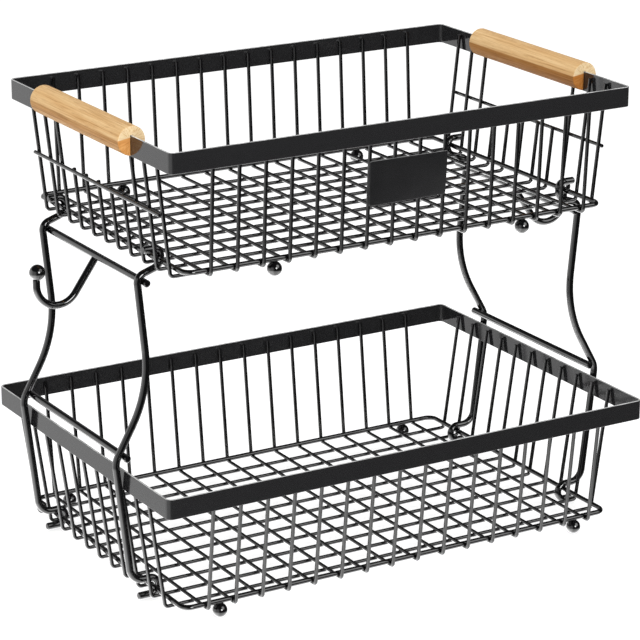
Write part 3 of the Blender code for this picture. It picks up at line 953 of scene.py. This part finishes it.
def make_plate():
    """Blank label plate: a sheet with rounded corners and eased edges, leaning with the front wires.

    It is pressed a little out of true, as thin sheet is, so its gloss changes towards one corner.
    """
    height = UPPER["level"] + PLATE_HEIGHT
    rise = UPPER["wire_top"] - UPPER["cross_level"]
    lean = math.atan2(UPPER["cross_head"] - UPPER["cross_foot"], rise)
    share = (height - UPPER["cross_level"]) / rise
    reach = UPPER["cross_foot"] + (UPPER["cross_head"] - UPPER["cross_foot"]) * share
    stand_off = (THIN_WIRE / 2 + GAP + PLATE_SIZE[1] / 2) / math.cos(lean)
    only(None)
    bpy.ops.mesh.primitive_cube_add(
        size=1,
        location=(0, -reach - stand_off, height),
        rotation=(lean, 0, 0),
        scale=PLATE_SIZE,
    )
    plate = bpy.context.object
    plate.name = "plate"
    bpy.ops.object.transform_apply(location=False, rotation=False, scale=True)
    bpy.ops.object.mode_set(mode="EDIT")
    pick(plate, "EDGE", lambda edge: abs(edge.verts[0].co.y - edge.verts[1].co.y) > 0.0005)
    bpy.ops.mesh.bevel(offset=PLATE_CORNER, offset_type="OFFSET", segments=6, affect="EDGES")
    bpy.ops.object.mode_set(mode="OBJECT")
    bevel_modifier(plate, PLATE_EASE)
    bpy.ops.object.mode_set(mode="EDIT")
    place = plate.matrix_world
    across = ((1, 0, 0), PLATE_SIZE[0] / PLATE_PANELS)
    upward = ((0, 0, 1), PLATE_SIZE[2] / PLATE_PANELS)
    for index in range(1 - PLATE_PANELS // 2, PLATE_PANELS // 2):
        for direction, run in (across, upward):
            bpy.ops.mesh.select_all(action="SELECT")
            bpy.ops.mesh.bisect(
                plane_co=place @ (Vector(direction) * run * index),
                plane_no=place.to_3x3() @ Vector(direction),
            )
    bpy.ops.object.mode_set(mode="OBJECT")
    for method, degrees in (("BEND", PLATE_BOW), ("TWIST", PLATE_TWIST)):
        press = plate.modifiers.new("Press", "SIMPLE_DEFORM")
        press.deform_method = method
        press.deform_axis = "X"
        press.angle = math.radians(degrees)
        bpy.ops.object.modifier_apply(modifier=press.name)
    bpy.ops.object.transform_apply(location=True, rotation=True, scale=True)
    smooth(plate)
    even_faces(plate)
    finish_piece(plate, plate_finish, "plate_paint", "label_plate")


# Brackets


def make_legs():
    """One bent leg, copied to the four places; its left copies are turned over."""
    path = leg_path()
    points = [Vector((out, 0, up)) for out, up, radius in path]
    radii = [radius for out, up, radius in path]
    leg = bend_wire("leg", points, radii, LEG_WIRE, HEAVY_WIRE_SIDES, LONG_BEND_STEP)
    for side, word in ((-1, "left"), (1, "right")):
        for place, end in ((FRONT_LEG, "front"), (REAR_LEG, "rear")):
            twin = copy_of(leg, f"{word}_{end}_bracket_leg", (0, place, 0), mirror=side < 0)
            finish_piece(twin, wire_finish, "wire_paint", f"{word}_{end}_leg")
    bpy.data.objects.remove(leg, do_unlink=True)


def make_rod(side, word, place, level_name):
    half = (REAR_LEG - FRONT_LEG) / 2 + LEG_WIRE / 2 + ROD_OVERHANG
    ends = [
        Vector((side * place.x, BRACKET_MIDDLE - half, place.y)),
        Vector((side * place.x, BRACKET_MIDDLE + half, place.y)),
    ]
    rod = bend_wire(f"{word}_{level_name}_cross_rod", ends, [0, 0], LEG_WIRE, HEAVY_WIRE_SIDES)
    finish_piece(rod, wire_finish, "wire_paint", f"{word}_{level_name}_rod")


def make_hook(side, word):
    """J hook welded under the upper rod, and the ball on its tip with a small flat seat."""
    slope = HOOK_SLOPE
    rod = Vector((side * UPPER_ROD.x, BRACKET_MIDDLE, UPPER_ROD.y))
    shaft = Vector((side * math.sin(slope), 0, -math.cos(slope)))
    off_rod = rod + HOOK_OFFSET * Vector((-side * math.cos(slope), 0, -math.sin(slope)))
    start = off_rod + shaft * (LEG_WIRE / 2 - WELD_BITE)
    across = HOOK_UPRIGHT_OUTSET + HOOK_OFFSET * math.cos(slope)
    corner = off_rod + shaft * across / math.sin(slope)
    tip = rod + Vector((side * HOOK_TIP_OUTSET, 0, -HOOK_TIP_DROP))
    upright = rod.x + side * HOOK_UPRIGHT_OUTSET
    end = Vector((upright, rod.y, tip.z - HOOK_BALL / 2 + WELD_BITE))
    hook = bend_wire(
        f"{word}_j_hook",
        [start, corner, end],
        [0, HOOK_BEND, 0],
        HOOK_WIRE,
        HEAVY_WIRE_SIDES,
        LONG_BEND_STEP,
    )
    finish_piece(hook, wire_finish, "wire_paint", f"{word}_hook")
    only(None)
    bpy.ops.mesh.primitive_uv_sphere_add(
        segments=HOOK_BALL_SIDES,
        ring_count=HOOK_BALL_RINGS,
        radius=HOOK_BALL / 2,
        location=tip,
    )
    ball = new_piece(f"{word}_tip_ball")
    bpy.ops.object.mode_set(mode="EDIT")
    seat = tip.z - HOOK_BALL / 2 * BALL_SEAT_SHARE
    pick(ball, "FACE", lambda face: face.calc_center_median().z < seat)
    bottom = (tip.x, tip.y, tip.z - HOOK_BALL / 2)
    bpy.ops.transform.resize(value=(1, 1, 0), center_override=bottom)
    outward(ball)
    smooth(ball)
    finish_piece(ball, wire_finish, "wire_paint", f"{word}_hook_ball")


for tier_name in BASKETS:
    make_rim(tier_name)
    make_cross_wires(tier_name)
    make_feet(tier_name)
make_side_wires("lower")
make_side_wires("upper", UPPER["level"] + GUARD_HEIGHT + THIN_WIRE / 2)
make_plate()
make_legs()
for side_sign, side_word in ((-1, "left"), (1, "right")):
    make_guard(side_sign, side_word)
    make_handle(side_sign, side_word)
    make_rod(side_sign, side_word, UPPER_ROD, "upper")
    make_rod(side_sign, side_word, LOWER_ROD, "lower")
    make_hook(side_sign, side_word)
only(None)


# Studio


def make_floor():
    """Pale floor that shows white and keeps the rack's soft shadow; gloss sees the world through it."""
    only(None)
    bpy.ops.mesh.primitive_plane_add(size=8, location=(0, 1.0, 0))
    floor = bpy.context.object
    floor.name = "floor"
    material, tree, shader = new_finish("white_paper_floor")
    path = add_node(tree, "ShaderNodeLightPath").outputs
    feed(tree, shader, Base_Color=hex_color("#f2f2f2"), Roughness=0.9, Specular_IOR_Level=0.0)
    glow = add_node(tree, "ShaderNodeEmission", {"Color": (1, 1, 1, 1), "Strength": 0.72})
    paper = add_node(tree, "ShaderNodeBsdfDiffuse", {"Color": (0.6, 0.6, 0.6, 1)})
    lit_paper = add_node(
        tree, "ShaderNodeAddShader", {0: glow.outputs[0], 1: paper.outputs[0]}
    )
    seen = add_node(
        tree,
        "ShaderNodeMixShader",
        {0: path["Is Camera Ray"], 1: shader.outputs[0], 2: lit_paper.outputs[0]},
    )
    clear = add_node(tree, "ShaderNodeBsdfTransparent")
    with_gloss = add_node(
        tree,
        "ShaderNodeMixShader",
        {0: path["Is Glossy Ray"], 1: seen.outputs[0], 2: clear.outputs[0]},
    )
    output = tree.nodes["Material Output"]
    tree.links.new(with_gloss.outputs[0], output.inputs["Surface"])
    floor.data.materials.append(material)


def make_world():
    """White to the camera, a plain fill for the rest, and for gloss a studio with a white left side.

    Gloss sees a white sweep low on the left with a soft box in it, brighter where the paper is near,
    a small lamp and a soft box above on the right, pale paper right below, and a dark room on the
    rest of the right side and above.
    """
    world = bpy.data.worlds.new("studio")
    bpy.context.scene.world = world
    world.use_nodes = True
    tree = world.node_tree
    tree.nodes.clear()
    path = add_node(tree, "ShaderNodeLightPath").outputs
    direction = add_node(tree, "ShaderNodeTexCoord").outputs["Generated"]

    def facing(axis):
        inputs = {0: direction, 1: axis}
        return add_node(
            tree, "ShaderNodeVectorMath", inputs, operation="DOT_PRODUCT"
        ).outputs["Value"]

    def eased(value, start, end, low, high):
        inputs = {"Value": value, "From Min": start, "From Max": end, "To Min": low, "To Max": high}
        return add_node(
            tree, "ShaderNodeMapRange", inputs, interpolation_type="SMOOTHSTEP"
        ).outputs["Result"]

    def combined(operation, first, second):
        return add_node(
            tree, "ShaderNodeMath", {0: first, 1: second}, operation=operation
        ).outputs[0]

    up = facing((0, 0, 1))
    left = facing(LEFT)
    left_side = eased(left, -0.08, 0.45, 0.0, 0.8)
    left_box = eased(left, 0.84, 0.94, 0.0, 0.6)
    sweep = combined("ADD", left_side, left_box)
    sweep = combined("MULTIPLY", sweep, eased(up, 0.50, 0.28, 0.0, 1.0))
    near_paper = eased(up, -0.36, -0.50, 1.0, 2.0)
    sweep = combined("MULTIPLY", sweep, near_paper)
    small_lamp = eased(facing(SMALL_LAMP), 0.972, 0.985, 0.0, 12.0)
    right_box = eased(facing(RIGHT_BOX), 0.90, 0.96, 0.0, 2.5)
    paper = eased(up, -0.36, -0.70, 0.03, 2.0)
    lamps = combined("ADD", small_lamp, right_box)
    gloss = combined("ADD", combined("ADD", sweep, paper), lamps)

    fill = add_node(tree, "ShaderNodeBackground", {"Color": (1, 1, 1, 1), "Strength": 0.5})
    white = add_node(tree, "ShaderNodeBackground", {"Color": (1, 1, 1, 1), "Strength": 1.0})
    room = add_node(tree, "ShaderNodeBackground", {"Color": (1, 1, 1, 1), "Strength": gloss})
    lit = add_node(
        tree,
        "ShaderNodeMixShader",
        {0: path["Is Glossy Ray"], 1: fill.outputs[0], 2: room.outputs[0]},
    )
    seen = add_node(
        tree,
        "ShaderNodeMixShader",
        {0: path["Is Camera Ray"], 1: lit.outputs[0], 2: white.outputs[0]},
    )
    output = add_node(tree, "ShaderNodeOutputWorld", {"Surface": seen.outputs[0]})
    output.is_active_output = True


def make_lamp(name, place, size, power):
    """Soft box that lights the rack but isn't mirrored in its gloss, which sees the world's studio."""
    only(None)
    bpy.ops.object.light_add(type="AREA", location=place)
    lamp = bpy.context.object
    lamp.name = name
    aim = Vector(LIT_POINT) - Vector(place)
    lamp.rotation_euler = aim.to_track_quat("-Z", "Y").to_euler()
    lamp.data.shape = "RECTANGLE"
    lamp.data.size, lamp.data.size_y = size
    lamp.data.energy = power
    lamp.visible_glossy = False


make_floor()
make_world()
make_lamp("tall_soft_box_left", (-1.7, -0.2, 0.9), (0.9, 1.2), 8)
make_lamp("soft_box_overhead", (0.1, 0.2, 1.9), (1.6, 1.6), 12)
make_lamp("soft_box_by_camera", (-0.6, -2.2, 0.9), (0.9, 0.9), 25)

only(None)
bpy.ops.object.camera_add(
    location=CAMERA_PLACE,
    rotation=(CAMERA_TILT, 0, CAMERA_TURN),
)
camera = bpy.context.object
camera.data.sensor_width = SENSOR_MM
camera.data.lens = FOCAL_PIXELS / PHOTO_PIXELS * SENSOR_MM
camera.data.clip_end = 100
bpy.context.scene.camera = camera
bpy.context.scene.view_settings.view_transform = "Standard"
